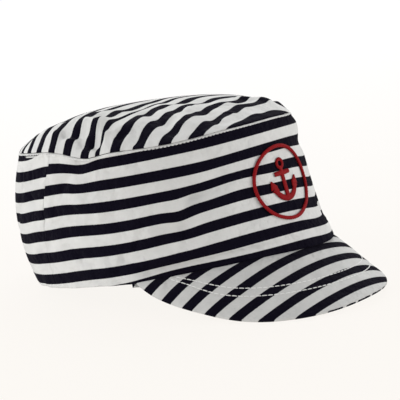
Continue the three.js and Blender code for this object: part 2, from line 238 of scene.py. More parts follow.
def bandRelief(turn, level):
    top = seamHeight(turn)
    below = top - level
    along = nearTurn(turn, 0) * turnLength
    fade = ease(level, 0, bandCut["puffLow"]) * (1 - ease(level / top, bandCut["foldEnd"], 1))
    depth = (bandFoldDepth(turn, level, bandFolds) + bandFoldDepth(turn, level, bandCreases)) * fade
    depth = depth + ripple(along, seamPuckers["waves"]) * np.exp(-below / seamPuckers["reach"])
    hemWave = ripple(along, hemPuckers["waves"]) * np.exp(-level / hemPuckers["reach"])
    depth = depth + hemWave * (1 - tuckShare(turn))
    depth = depth - turnedEdge["out"] * hill(below, turnedEdge["middle"], turnedEdge["span"])
    depth = depth + seamStitches["dent"] * hill(below, seamStitches["inset"], seamStitches["dentSpan"])
    past = pastJoin(turn, level)
    step = np.where(past > 0, joinStep["in"], -joinStep["out"]) * np.exp(-np.abs(past) / joinStep["reach"])
    step = step * mix(joinStep["lowShare"], 1, ease(level, joinStep["growStart"], joinStep["growEnd"]))
    return depth + step


def bandPlace(turn, level, depth):
    # depth is how far the point lies inside the outer face
    cut = bandCut
    share = level / seamHeight(turn)
    belly = 4 * share * (1 - share)
    angle = np.radians(turn)
    halfLength = mix(cut["rimHalfLength"], cut["topHalfLength"], share) + cut["bellyLength"] * belly
    halfWidth = mix(cut["rimHalfWidth"], cut["topHalfWidth"], share) + cut["bellyWidth"] * belly
    centre = cut["topBack"] * share + cut["bellyBack"] * belly
    tuck = cut["hemTuck"] * tuckShare(turn) - frontHem["out"] * frontHemShare(turn)
    tuck = tuck * (1 - ease(level, cut["hemTop"], cut["puffLow"]))
    inward = depth + tuck + bandRelief(turn, level)
    inward = inward + rolledIn(turn) * hill(seamHeight(turn) - level, 0, cornerRoll["down"])
    out = unit(np.stack([np.sin(angle) / halfWidth, -np.cos(angle) / halfLength], -1))
    x = halfWidth * np.sin(angle) - inward * out[..., 0]
    y = centre - halfLength * np.cos(angle) - inward * out[..., 1]
    return np.stack([x, y, level + 0 * x], -1)


stripeDrift = [  # turn, level, reach in turn, reach in level, how far the stripes sag there
    (-92, 45, 17, 50, -3.7), (-84, 72, 7, 16, 3.1), (-33, 51, 20, 14, 1.8), (-95, 16, 32, 44, 2.8),
    (-22, 25, 25, 21, -1.8), (30, 33, 16, 27, 3.1), (-23, 43, 13, 9.5, -2.1), (-47, 30, 5.3, 10, 1.8),
    (-111, 33, 9, 23, -1.2), (18, 10, 14, 12, 1.6), (-105, 77, 6, 5, -1.6), (40, 17, 5, 9, -1.5),
]
tuckLoss = {  # some cloth is lost in the tuck over the visor, most of it at the wearer's right
    "cloth": 1.35, "more": 2, "moreTurn": -54, "moreReach": 20, "sideStart": 80, "sideEnd": 96,
    "leftStart": 4, "leftEnd": 30, "level": 4, "levelDrop": 3.5, "dropStart": 42, "dropEnd": 82, "over": 4,
}


def bandStripe(turn, level):
    # millimetres of cloth below the upper edge of the first dark stripe
    stripe, angle = bandStripes, np.radians(turn)
    edge = stripe["top"] + stripe["frontRise"] * np.cos(angle) + stripe["sideRise"] * np.sin(angle)
    for at, height, reach, tall, sag in stripeDrift:
        edge = edge - sag * hill(nearTurn(turn, at), 0, reach) * hill(level, height, tall)
    loss, around = tuckLoss, np.abs(nearTurn(turn, 0))
    lost = loss["cloth"] + loss["more"] * hill(nearTurn(turn, loss["moreTurn"]), 0, loss["moreReach"])
    lost = lost * (1 - ease(around, loss["sideStart"], loss["sideEnd"]))
    lost = lost * (1 - ease(turn, loss["leftStart"], loss["leftEnd"]))
    start = loss["level"] - loss["levelDrop"] * ease(around, loss["dropStart"], loss["dropEnd"])
    # the stripes of the two panels don't quite meet at the join, least of all near the top
    past = pastJoin(turn, level)
    jog = stripe["jog"] * ease(level, stripe["jogStart"], stripe["jogFull"])
    edge = edge - jog * np.sign(past) * np.exp(-np.abs(past) / stripe["jogReach"])
    return edge - level + lost * (1 - ease(level, start, start + loss["over"]))


def bandSection():
    # the wall's section is a closed loop: hem, outer face, top edge, inner face; each corner has its share of
    # the height, its rise over that and its depth
    cut, half = bandCut, bandCut["cloth"] / 2
    quarter = np.radians(np.linspace(0, 90, cut["edgeSteps"]))
    outer = [(0, -half * math.cos(q), half * (1 - math.sin(q))) for q in quarter[:-1]]
    outer += [(share, 0, 0) for share in 1 - np.linspace(1, 0, cut["rows"]) ** cut["topCrowd"]]
    outer += [(1, half * math.sin(q), half * (1 - math.cos(q))) for q in quarter[1:]]
    inner = [(share, rise, cut["cloth"] - depth) for share, rise, depth in outer[1:-1][::-1]]
    return np.array(outer + inner).T[:, None, :]


def sideTurn(across, join):
    # from join to join by way of the front, a hair short of both
    return across * (join - bandCut["joinGap"] / turnLength)


def backTurn(across, join):
    return 180 + across * (180 - join)


def bandPanel(name, turnAt, columns, material):
    half = bandCut["cloth"] / 2
    share, rise, depth = bandSection()
    across = np.linspace(-1, 1, columns)[:, None]
    turn = turnAt(across, joinAt(share * bandCut["height"]) + bandCut["joinGap"] / 2 / turnLength)
    level = mix(half, seamHeight(turn) - half, share) + rise
    drop = frontHem["drop"] * frontHemShare(turn)
    drop = drop + nearHem["drop"] * hill(nearTurn(turn, nearHem["turn"]), 0, nearHem["reach"])
    level = level - drop * (1 - share) ** frontHem["power"]
    points = bandPlace(turn, level, depth)
    edge, tuck = turnedEdge, seamTuck
    white = 1 - ease(seamHeight(turn) - level, edge["white"], edge["white"] + edge["fade"])
    below = np.abs(seamHeight(turn) - level - tuck["below"])
    beside = np.abs(nearTurn(turn, tuck["turn"])) - tuck["reach"]
    line = (1 - ease(below, tuck["half"], tuck["halfFade"])) * (1 - ease(beside, 0, tuck["endFade"]))
    cloth = np.stack([turn * turnLength, bandStripe(turn, level), np.maximum(white, line)], -1)
    return makePiece(name, points, loopWall(*points.shape[:2], ends=True), cloth, material)


# The top panel: a low pillow with round shoulders
crownCut = {
    "centre": 18, "slope": 1.9, "fall": 9.9, "lean": 5.6, "sideFall": 3, "twist": 3.2,
    "shoulder": 3.2, "edge": 0.73, "waveReach": 6, "foldEnd": 0.92, "creaseEnd": 0.9,
    "rings": 90, "rimCrowd": 1.5, "columns": 400,
}
crownFolds = [  # start x and y, end x and y, depth, width
    ((-63, 30), (-63, 2), -2.7, 8), ((-62, -4), (-61, -14), -3.5, 4.6), ((-57, -14), (-66, -26), -1.8, 6.7),
    ((-74, -8), (-71, -20), 2.2, 3.3), ((-48, -10), (-14, -14), 1.2, 9), ((-66, -40), (-60, -36), 2.3, 3.4),
    ((-50, -54), (-40, -30), 1.7, 4.7), ((-27, -64), (-29, -36), 0.9, 5), ((-22, -58), (-18, -46), 1.2, 3.8),
    ((-14, -28), (-4, -40), 1.8, 6.8), ((0, -70), (24, -66), -2.5, 7.3), ((-30, 44), (22, 52), 1.7, 9),
    ((40, 34), (66, 8), 1.4, 7), ((36, -68), (30, -58), -1.3, 6),
]
crownCreases = [  # finer than the folds
    ((-71, 6), (-68, -10), 2.6, 3.2), ((-54, 6), (-44, -10), -2.5, 7), ((-80, 10), (-76, 2), -2.8, 5.5),
    ((-67, 38), (-57, 42), -1.1, 2.5), ((-72, 18), (-71, 11), -2.6, 4), ((-69, -11), (-66, -13), -3.2, 4.8),
    ((-74, -17), (-71, -15), 3.2, 3), ((-73, -22), (-69, -22), -3, 2.4), ((-67, -30), (-63, -30), 3.2, 2.6),
    ((-55, -34), (-51, -35), -1.5, 8), ((-44, -48), (-40, -49), 1.3, 4.3), ((-40, -58), (-35, -58), -1.5, 8),
    ((-69, -38), (-66, -44), 3.2, 2.4), ((-23, -70), (-18, -70), 2.8, 8), ((-23, -70), (-15, -68), -3.2, 4),
    ((19, -51), (22, -69), -2.1, 3.4), ((-43, -15), (-31, -17), 1.2, 8), ((7, -63), (3, -77), 2.1, 8),
    ((38, -69), (37, -64), -1.7, 3.2), ((-48, -63), (-38, -68), 1.6, 3.4),
    ((-25, -47), (-17, -46), -1.5, 2.8), ((-2, -59), (6, -64), -1.7, 6.5),
]
crownPucker = {  # a pucker across the top that swallows some cloth, narrow at the wearer's right
    "y": -18.5, "swallowed": 5.25, "width": 1.6, "widen": 0.09,
}


def crownPlace(turn, ring, inset):
    # ring is 0 in the middle of the top and 1 at the seam
    cut, angle = crownCut, np.radians(turn)
    halfWidth, halfLength = bandCut["topHalfWidth"], bandCut["topHalfLength"]
    x = ring * (halfWidth - inset) * np.sin(angle)
    back = -ring * (halfLength - inset) * np.cos(angle)
    out = unit(np.stack([np.sin(angle) / halfWidth, -np.cos(angle) / halfLength], -1))
    x = x - rolledIn(turn) * ring ** cornerRoll["topPower"] * out[..., 0]
    back = back - rolledIn(turn) * ring ** cornerRoll["topPower"] * out[..., 1]
    ahead, aside = back / halfLength, x / halfWidth
    height = cut["centre"] - cut["slope"] * ahead - cut["lean"] * aside
    height = height - cut["fall"] * ahead**2 - cut["sideFall"] * aside**2 - cut["twist"] * ahead * aside
    shell = (height - inset) * np.maximum(0, 1 - ring ** cut["shoulder"]) ** cut["edge"]
    wave = seamHeight(turn) - bandCut["height"] + bandCut["backRise"] * np.cos(angle)
    seam = bandCut["height"] + bandCut["backRise"] * ahead + wave * ring ** cut["waveReach"]
    y = back + bandCut["topBack"]
    fold = foldDepth(x, y, crownFolds) * (1 - ease(ring, cut["foldEnd"], 1))
    fold = fold + foldDepth(x, y, crownCreases) * (1 - ease(ring, cut["creaseEnd"], 1))
    return np.stack([x, y, seam + bandCut["gap"] + shell - fold], -1)


def crownStripe(x, y):
    pucker = crownPucker
    width = pucker["width"] + pucker["widen"] * (x + bandCut["topHalfWidth"])
    swallowed = pucker["swallowed"] / (1 + np.exp(np.clip((y - pucker["y"]) / width * 2, -40, 40)))
    # the last dark stripe runs into the front seam
    last = topStripes["lastDark"] * topStripes["pitch"] + topStripes["lastDepth"]
    return np.minimum(topStripes["start"] - y + swallowed, last)


def crownTop(material):
    cut = crownCut
    rings, columns = cut["rings"], cut["columns"]
    ring = 1 - (1 - np.linspace(0, 1, rings + 1)[1:, None]) ** cut["rimCrowd"]
    turn = np.linspace(-180, 180, columns + 1)[None, :-1]
    skins = []
    for inset in (0, bandCut["cloth"]):
        middle = crownPlace(np.zeros(1), np.zeros(1), inset)
        skins.append(np.concatenate([middle, crownPlace(turn, ring, inset).reshape(-1, 3)]))
    skin = len(skins[0])
    faces = []
    for column in range(columns):
        after = (column + 1) % columns
        for base in (0, skin):
            faces.append((base, base + 1 + column, base + 1 + after))
            for step in range(rings - 1):
                near, far = base + 1 + step * columns, base + 1 + (step + 1) * columns
                faces.append((near + column, far + column, far + after, near + after))
        rim = 1 + (rings - 1) * columns
        faces.append((rim + column, skin + rim + column, skin + rim + after, rim + after))
    points = np.concatenate(skins)
    cloth = np.stack([points[:, 0], crownStripe(points[:, 0], points[:, 1]), 0 * points[:, 0]], -1)
    return makePiece("crownTop", points, faces, cloth, material)


# The visor: cloth over a stiff board, with two rows of stitches
visorCut = {
    "endTurn": 70.8, "reach": 36.5, "steepness": 1.06, "lift": 0.0043, "corner": 3.74, "round": 0.42,
    "settle": 8, "thickness": 2.8, "land": 2, "startSlope": 0.35, "least": 1.5, "rootGap": 0.1,
    "columns": 241, "rows": 48, "edgeCrowd": 1.2, "weld": 2e-6,
}
visorSag = [(-66, 1.9, 17), (10, -1.3, 34)]  # across, how far the edge hangs lower there, reach
visorDip = {"down": 2.4, "full": 5, "end": 20}  # under the hem that hangs over it, fading as it runs out
visorDrift = {"across": -68, "reach": 14, "down": 0.9}  # the stripes sag at the near end
visorStitches = {  # each row is half an oval: middle across and ahead, half width and half length
    "rows": [(3.5, -40, 70.3, 68.8), (3.5, -40, 72.4, 73.5)], "groove": 0.25, "grooveSpan": 0.6,
    "pitch": 3.3, "length": 3.15, "radius": 0.3, "sunk": -0.05, "margin": 0.5,
}
frontDashes = {  # the cloth turns under the front edge at a dark stripe, which shows there in uneven dashes
    "stripe": 4, "past": 0.7, "waves": [(7.3, 0.9, 0.4), (3.4, 0.6, 1.3), (12.1, 0.7, 2.0)],
    "across": 12, "reach": 38, "end": 48, "full": 0.1, "fade": 0.35, "far": 9,
}


def visorDrop(run, lag):
    # steep at first reach, easing towards the edge; it leaves the hem almost level
    cut, span = visorCut, lag + visorCut["settle"]

    def steep(length):
        return cut["steepness"] * length - cut["lift"] * length * length

    share = np.clip(run / span, 0, 1)
    endSlope = (cut["steepness"] - 2 * cut["lift"] * cut["settle"]) * span
    start = cut["startSlope"] * span * (share**3 - 2 * share**2 + share)
    settling = start + steep(cut["settle"]) * (3 * share**2 - 2 * share**3) + endSlope * (share**3 - share**2)
    return np.where(run >= span, steep(run - lag), settling)


def visorSurface():
    # the upper face, column by column from the wearer's right to the left, each from the root to the edge
    cut = visorCut
    columns, rows = cut["columns"], cut["rows"]
    turn = cut["endTurn"] * np.sin(np.linspace(-90, 90, columns) * math.pi / 180)[:, None]
    angle, tuck = np.radians(turn), bandCut["hemTuck"] * tuckShare(turn)
    x = (bandCut["rimHalfWidth"] - tuck) * np.sin(angle)
    root = -(bandCut["rimHalfLength"] - tuck) * np.cos(angle)
    rim = -bandCut["rimHalfLength"] * np.sqrt(1 - (x / bandCut["rimHalfWidth"]) ** 2)
    lag = np.maximum(0, root - rim)
    share = np.maximum(0, 1 - np.abs(x / x[-1]) ** cut["corner"]) ** cut["round"]
    length = np.maximum(cut["least"], (lag + cut["reach"]) * share)
    along = np.sin(np.linspace(0, 90, rows) * math.pi / 180) ** cut["edgeCrowd"]
    run = length * along[None, :]
    hang = sum(deep * hill(x, at, reach) for at, deep, reach in visorSag) * (run / length) ** 2
    dip = visorDip["down"] * frontHemShare(turn) * (1 - ease(run, visorDip["full"], visorDip["end"]))
    points = np.stack([x + 0 * run, root - run, -cut["rootGap"] - visorDrop(run, lag) - hang - dip], -1)
    land = points[:, :1] + np.array([0, cut["land"], 0])
    return np.concatenate([land, points], 1)


def visorNormals(surface):
    acrossStep = np.gradient(surface, axis=0)
    alongStep = np.gradient(surface, axis=1)
    normals = unit(np.cross(alongStep, acrossStep))
    return normals * np.sign(normals[..., 2:] + 1e-9)


def edgeDistance(surface):
    # from each point of the upper face to the nearest point of the outline
    outline = np.concatenate([surface[0, 1:], surface[:, -1], surface[-1, 1:]])
    away = np.full(surface.shape[:2], np.inf)
    for point in outline:
        away = np.minimum(away, np.linalg.norm(surface - point, axis=-1))
    return away


def visorClothPlace(section, fromEdge):
    slant = math.radians(visorStripes["slant"])
    start = bandCut["rimHalfLength"] * math.cos(slant) + visorStripes["start"]
    x = section[..., 0]
    down = -section[..., 1] * math.cos(slant) - section[..., 2] * math.sin(slant) - start
    down = down + visorDrift["down"] * hill(x, visorDrift["across"], visorDrift["reach"])
    dashes = frontDashes
    turned = dashes["stripe"] * visorStripes["pitch"] + dashes["past"] + ripple(x, dashes["waves"])
    atFront = 1 - ease(np.abs(x - dashes["across"]), dashes["reach"], dashes["end"])
    atFront = atFront * (1 - ease(fromEdge, dashes["full"], dashes["fade"]))
    return np.stack([x, mix(down, np.maximum(down, turned), atFront), 0 * down], -1)


def visorPlate(material):
    surface = visorSurface()
    normals, away = visorNormals(surface), edgeDistance(surface)
    radius = visorCut["thickness"] / 2
    swell = radius * np.sqrt(1 - (1 - np.clip(away / radius, 0, 1)) ** 2)
    groove, sewn = 0, visorStitches
    for middleX, middleY, halfWide, halfLong in sewn["rows"]:
        off = np.hypot((surface[..., 0] - middleX) / halfWide, (surface[..., 1] - middleY) / halfLong) - 1
        inFront = surface[..., 1] < middleY
        groove = groove + sewn["groove"] * hill(off * halfWide, 0, sewn["grooveSpan"]) * inFront
    middle = surface - normals * radius
    upper = middle + normals * (swell - groove)[..., None]
    lower = middle - normals * swell[..., None]
    section = np.concatenate([middle[:, :1], upper[:, :-1], middle[:, -1:], lower[:, :-1][:, ::-1]], 1)
    ends = (away[:, :1] * 0 + frontDashes["far"], away[:, -1:] * 0)  # the root's middle and the edge's middle
    fromEdge = np.concatenate([ends[0], away[:, :-1], ends[1], away[:, :-1][:, ::-1]], 1)
    cloth = visorClothPlace(section, fromEdge)
    piece = makePiece("visor", section, loopWall(*section.shape[:2], ends=False), cloth, material)
    # its two ends taper to nothing, so points that meet there are joined
    weld = bmesh.new()
    weld.from_mesh(piece.data)
    bmesh.ops.remove_doubles(weld, verts=weld.verts, dist=visorCut["weld"])
    bmesh.ops.recalc_face_normals(weld, faces=weld.faces)
    weld.to_mesh(piece.data)
    weld.free()
    return piece, (surface, normals)


# Thread: every stitch is a thin closed tube that follows a short path
stitchForm = {  # height and thickness along a stitch, in radii; its ends dive into the cloth
    "height": [-1.2, 0.1, 0.5, 0.5, 0.1, -1.2], "thickness": [0.7, 1, 1, 1, 1, 0.7], "first": 0.3, "sides": 6,
}


def threadTubes(name, paths, material, sides=stitchForm["sides"]):
    # a path is its points, the way up and the radius at each of them, and whether it is a closed ring
    points, faces, count = [], [], 0
    around = np.linspace(0, 2 * math.pi, sides, endpoint=False)
    for path, ups, radii, closed in paths:
        steps = len(path)
        after, before = np.roll(path, -1, 0), np.roll(path, 1, 0)
        if not closed:
            after[-1], before[0] = path[-1], path[0]
        along = unit(after - before)
        up = unit(ups - (ups * along).sum(-1, keepdims=True) * along)
        side = np.cross(along, up)
        ring = np.cos(around)[None, :, None] * side[:, None] + np.sin(around)[None, :, None] * up[:, None]
        points.append((path[:, None] + ring * np.asarray(radii)[:, None, None]).reshape(-1, 3))
        for step in range(steps if closed else steps - 1):
            here, there = count + step * sides, count + (step + 1) % steps * sides
            for corner in range(sides):
                other = (corner + 1) % sides
                faces.append((here + corner, there + corner, there + other, here + other))
        if not closed:
            faces.append(tuple(count + corner for corner in range(sides)))
            faces.append(tuple(count + (steps - 1) * sides + corner for corner in range(sides))[::-1])
        count += steps * sides
    return makePiece(name, np.concatenate(points), faces, None, material)


def lengthAlong(line):
    return np.concatenate([[0], np.cumsum(np.linalg.norm(np.diff(line, axis=0), axis=1))])


def stitchesAlong(line, ups, sewn):
    # even stitches along a line
    reach, radius = lengthAlong(line), sewn["radius"]
    height, thickness = (np.array(stitchForm[key]) * radius for key in ("height", "thickness"))
    paths = []
    for start in np.arange(sewn["pitch"] * stitchForm["first"], reach[-1] - sewn["length"], sewn["pitch"]):
        spread = start + sewn["length"] * np.linspace(0, 1, len(height))
        path = np.stack([np.interp(spread, reach, line[:, axis]) for axis in range(3)], -1)
        up = unit(np.stack([np.interp(spread, reach, ups[:, axis]) for axis in range(3)], -1))
        paths.append((path + up * (height - sewn["sunk"])[:, None], up, thickness, False))
    return paths


def topSeamStitches(material):
    turn = np.linspace(-180, 180, seamStitches["places"])
    level = seamHeight(turn) - seamStitches["inset"]
    line = bandPlace(turn, level, 0)
    ups = unit(bandPlace(turn, level, -1) - line)
    return threadTubes("seamStitches", stitchesAlong(line, ups, seamStitches), material)


def visorRowLine(shape, oval):
    # the line on the visor under one oval row of stitches
    surface, normals = shape
    middleX, middleY, halfWide, halfLong = oval
    line, ups = [], []
    for column in range(surface.shape[0]):
        across = (surface[column, 1, 0] - middleX) / halfWide
        if abs(across) >= 1:
            continue
        ahead = middleY - halfLong * math.sqrt(1 - across**2)
        toFront = -surface[column, 1:, 1]
        if not toFront[0] + visorStitches["margin"] < -ahead < toFront[-1] - visorStitches["margin"]:
            continue
        line.append([np.interp(-ahead, toFront, surface[column, 1:, axis]) for axis in range(3)])
        ups.append([np.interp(-ahead, toFront, normals[column, 1:, axis]) for axis in range(3)])
    return np.array(line), unit(np.array(ups))


def visorRows(shape, material):
    paths = []
    for oval in visorStitches["rows"]:
        line, ups = visorRowLine(shape, oval)
        paths += stitchesAlong(line - ups * visorStitches["groove"], ups, visorStitches)
    return threadTubes("visorStitches", paths, material)


# Embroidery on the front: an anchor in a ring of rope
badge = {
    "level": 36.5, "lift": 0.35, "threadPitch": 0.4, "threadRadius": 0.27, "threadPoints": 7, "arch": 0.55,
    "archWide": 0.98, "lookAhead": 0.2, "arcSteps": 24,
}
rope = {  # three strands twisted round each other along an oval
    "halfWidth": 22.5, "halfHeight": 20.5, "width": 2.2, "turn": 4.6, "strands": 3,
    "flat": 0.55, "full": 1.05, "steps": 520, "sides": 8,
}
anchorStrokes = {  # across, level about the middle of the ring, width
    "shank": [(0, 8.5, 2.6), (0, 3, 2.8), (0, -3, 3.0), (0, -8.6, 3.4)],
    "stock": [(-6.6, 5.2, 2.2), (-2.2, 5.2, 2.6), (2.2, 5.2, 2.6), (6.6, 5.2, 2.2)],
    "rightFluke": [(-7.2, -4.6, 2.6), (-9.4, -2.2, 5.6), (-10.6, 1.8, 0.8)],
    "leftFluke": [(7.2, -4.6, 2.6), (9.4, -2.2, 5.6), (10.6, 1.8, 0.8)],
}
anchorArm = {"radius": 9.6, "level": 0.4, "from": 118, "to": 242, "width": 3.2}
anchorEye = {"radius": 2.5, "level": 10.6, "from": 0, "to": 360, "width": 1.7}


def frontPlace(across, level, height):
    share = level / seamHeight(0)
    halfWidth = mix(bandCut["rimHalfWidth"], bandCut["topHalfWidth"], share)
    halfWidth = halfWidth + bandCut["bellyWidth"] * 4 * share * (1 - share)
    return bandPlace(np.degrees(np.arcsin(across / halfWidth)), level, -height)


def arcStroke(arc):
    angles, radius = np.radians(np.linspace(arc["from"], arc["to"], badge["arcSteps"])), arc["radius"]
    return [(radius * math.sin(a), arc["level"] + radius * math.cos(a), arc["width"]) for a in angles]


def satinStroke(stroke, level):
    # threads laid side by side across the stroke
    stroke = np.array(stroke, float)
    reach = lengthAlong(stroke[:, :2])
    spread = np.linspace(-1, 1, badge["threadPoints"])
    height = badge["lift"] + badge["arch"] * np.sqrt(1 - spread**2 * badge["archWide"])
    radii = np.full(badge["threadPoints"], badge["threadRadius"])

    def strokeAt(place, parts):
        return np.array([np.interp(place, reach, stroke[:, part]) for part in range(parts)])

    paths = []
    for at in np.arange(badge["threadPitch"] / 2, reach[-1], badge["threadPitch"]):
        middleX, middleLevel, width = strokeAt(at, 3)
        way = unit(strokeAt(at + badge["lookAhead"], 2) - strokeAt(at - badge["lookAhead"], 2))
        across = middleX - way[1] * spread * width / 2
        high = middleLevel + way[0] * spread * width / 2
        path = frontPlace(across, level + high, height)
        ups = unit(frontPlace(across, level + high, height + 1) - path)
        paths.append((path, ups, radii, False))
    return paths


def anchorStitches(material):
    strokes = list(anchorStrokes.values()) + [arcStroke(anchorArm), arcStroke(anchorEye)]
    paths = [path for stroke in strokes for path in satinStroke(stroke, badge["level"])]
    return threadTubes("anchorStitches", paths, material)


def ropeRing(material):
    angle = np.linspace(0, 2 * math.pi, rope["steps"], endpoint=False)
    across = rope["halfWidth"] * np.sin(angle)
    high = badge["level"] + rope["halfHeight"] * np.cos(angle)
    reach = np.cumsum(np.hypot(np.gradient(across), np.gradient(high)))
    turns = int(np.round(reach[-1] / rope["turn"]))
    away = unit(np.stack([np.sin(angle) / rope["halfWidth"], np.cos(angle) / rope["halfHeight"]], -1))
    ups = unit(frontPlace(across, high, 2) - frontPlace(across, high, 0))
    thick = rope["width"] / 4
    radii = np.full(rope["steps"], thick * rope["full"])
    paths = []
    for strand in range(rope["strands"]):
        twist = 2 * math.pi * (turns * reach / reach[-1] + strand / rope["strands"])
        sideways = thick * np.cos(twist)
        height = badge["lift"] + thick + thick * rope["flat"] * np.sin(twist)
        path = frontPlace(across + away[:, 0] * sideways, high + away[:, 1] * sideways, height)
        paths.append((path, ups, radii, True))
    return threadTubes("ropeRing", paths, material, sides=rope["sides"])


# Finishes
def newMaterial(name):
    material = bpy.data.materials.new(name)
    material.use_nodes = True
    nodes = material.node_tree.nodes
    return material, nodes, material.node_tree.links, nodes["Principled BSDF"]


def mathNode(nodes, links, kind, first, second=None, third=None):
    node = nodes.new("ShaderNodeMath")
    node.operation = kind
    for socket, value in zip(node.inputs, (first, second, third)):
        if value is None:
            continue
        if isinstance(value, (int, float)):
            socket.default_value = value
        else:
            links.new(value, socket)
    return node.outputs[0]


def mixColour(nodes, links, share, first, second):
    node = nodes.new("ShaderNodeMix")
    node.data_type = "RGBA"
    for socket, value in ((node.inputs[0], share), (node.inputs[6], first), (node.inputs[7], second)):
        if isinstance(value, tuple):
            socket.default_value = (*value, 1)
        elif isinstance(value, (int, float)):
            socket.default_value = value
        else:
            links.new(value, socket)
    return node.outputs[2]


def noise(nodes, links, place, scale, detail):
    node = nodes.new("ShaderNodeTexNoise")
    node.inputs["Scale"].default_value = scale
    node.inputs["Detail"].default_value = detail
    links.new(place, node.inputs["Vector"])
    return node.outputs["Fac"]


def bump(nodes, links, height, depth, strength):
    node = nodes.new("ShaderNodeBump")
    node.inputs["Distance"].default_value = depth
    node.inputs["Strength"].default_value = strength
    links.new(height, node.inputs["Height"])
    return node


def setGloss(shader, finish):
    shader.inputs["Roughness"].default_value = finish["roughness"]
    shader.inputs["Sheen Weight"].default_value = finish["sheen"]
    shader.inputs["Specular IOR Level"].default_value = finish["specular"]


cottonFinish = {  # each grain is the scale and the detail of its noise; depths are in metres
    # the whites mottle at random towards whiteShade, a darker tone that is partly random tone and partly
    # painted shade of soft crumples
    "white": (0.67, 0.67, 0.655), "whiteShade": (0.54, 0.54, 0.535), "whiteGrain": (0.05, 3.0),
    "navy": (0.0028, 0.0022, 0.005), "navyWorn": (0.006, 0.005, 0.012), "navyGrain": (0.9, 4.0),
    "edgeSoft": 0.1, "edgeFray": 0.16, "edgeGrain": (1.6, 3.0),
    "yarn": 0.55, "weaveDepth": 0.00007, "weaveStrength": 0.6,
    "crumpleDepth": 0.008, "crumpleStrength": 0.5, "crumpleGrain": (0.11, 3.0),
    "roughness": 0.95, "sheen": 0.012, "sheenRoughness": 0.45, "specular": 0.03,
}


def stripedCotton(name, stripes):
    # the stripes are woven in: their place is the cloth's own, in millimetres, along and across them
    finish, pitch, dark = cottonFinish, stripes["pitch"], stripes["dark"] / stripes["pitch"]
    material, nodes, links, shader = newMaterial(name)
    place = nodes.new("ShaderNodeAttribute")
    place.attribute_name = "cloth"
    parts = nodes.new("ShaderNodeSeparateXYZ")
    links.new(place.outputs["Vector"], parts.inputs[0])
    along, across = parts.outputs[0], parts.outputs[1]
    fray = noise(nodes, links, place.outputs["Vector"], *finish["edgeGrain"])
    fray = mathNode(nodes, links, "MULTIPLY_ADD", fray, 2 * finish["edgeFray"], -finish["edgeFray"])
    strayed = mathNode(nodes, links, "ADD", across, fray)
    turns = mathNode(nodes, links, "MULTIPLY_ADD", strayed, 1 / pitch, -dark / 2)
    fromMiddle = mathNode(nodes, links, "ABSOLUTE", mathNode(nodes, links, "WRAP", turns, 0.5, -0.5))
    soft = finish["edgeSoft"] / pitch
    ramp = nodes.new("ShaderNodeMapRange")
    ramp.interpolation_type = "SMOOTHSTEP"
    ramp.inputs["From Min"].default_value = dark / 2 - soft
    ramp.inputs["From Max"].default_value = dark / 2 + soft
    links.new(fromMiddle, ramp.inputs["Value"])
    white = mathNode(nodes, links, "MAXIMUM", ramp.outputs["Result"], parts.outputs[2])
    # large soft mottling of the whites: random tone, and partly painted shade of crumples
    cloudy = noise(nodes, links, place.outputs["Vector"], *finish["whiteGrain"])
    threadbare = noise(nodes, links, place.outputs["Vector"], *finish["navyGrain"])
    # the whites are scaled by the stripes' painted shade, which darkens the visor's whites
    whites = [tuple(part * stripes["paintedShadeScale"] for part in finish[key]) for key in ("white", "whiteShade")]
    whiteCloth = mixColour(nodes, links, cloudy, *whites)
    navyCloth = mixColour(nodes, links, threadbare, finish["navy"], finish["navyWorn"])
    colour = mixColour(nodes, links, white, navyCloth, whiteCloth)
    links.new(colour, shader.inputs["Base Color"])
    setGloss(shader, finish)
    shader.inputs["Sheen Roughness"].default_value = finish["sheenRoughness"]
    turnsPerMm = 2 * math.pi / finish["yarn"]
    warp = mathNode(nodes, links, "SINE", mathNode(nodes, links, "MULTIPLY", along, turnsPerMm))
    weft = mathNode(nodes, links, "SINE", mathNode(nodes, links, "MULTIPLY", across, turnsPerMm))
    weave = mathNode(nodes, links, "MULTIPLY", warp, weft)
    fine = bump(nodes, links, weave, finish["weaveDepth"], finish["weaveStrength"])
    crumpled = noise(nodes, links, place.outputs["Vector"], *finish["crumpleGrain"])
    crumple = bump(nodes, links, crumpled, finish["crumpleDepth"], finish["crumpleStrength"])
    links.new(crumple.outputs["Normal"], fine.inputs["Normal"])
    links.new(fine.outputs["Normal"], shader.inputs["Normal"])
    return material


threadFinish = {
    "redThread": {
        "colour": (0.27, 0.003, 0.006), "shade": (0.18, 0.002, 0.004),
        "roughness": 0.6, "sheen": 0.01, "specular": 0.12,
    },
    "paleThread": {
        "colour": (0.74, 0.74, 0.73), "shade": (0.62, 0.62, 0.61),
        "roughness": 0.8, "sheen": 0.05, "specular": 0.12,
    },
}
threadGrain = {"spots": (900, 2.0), "fibres": (2600, 2.0), "fibreDepth": 0.00006, "fibreStrength": 0.5}


def thread(name):
    finish, grain = threadFinish[name], threadGrain
    material, nodes, links, shader = newMaterial(name)
    place = nodes.new("ShaderNodeTexCoord")
    spots = noise(nodes, links, place.outputs["Object"], *grain["spots"])
    links.new(mixColour(nodes, links, spots, finish["colour"], finish["shade"]), shader.inputs["Base Color"])
    setGloss(shader, finish)
    fibres = noise(nodes, links, place.outputs["Object"], *grain["fibres"])
    rough = bump(nodes, links, fibres, grain["fibreDepth"], grain["fibreStrength"])
    links.new(rough.outputs["Normal"], shader.inputs["Normal"])
    return material
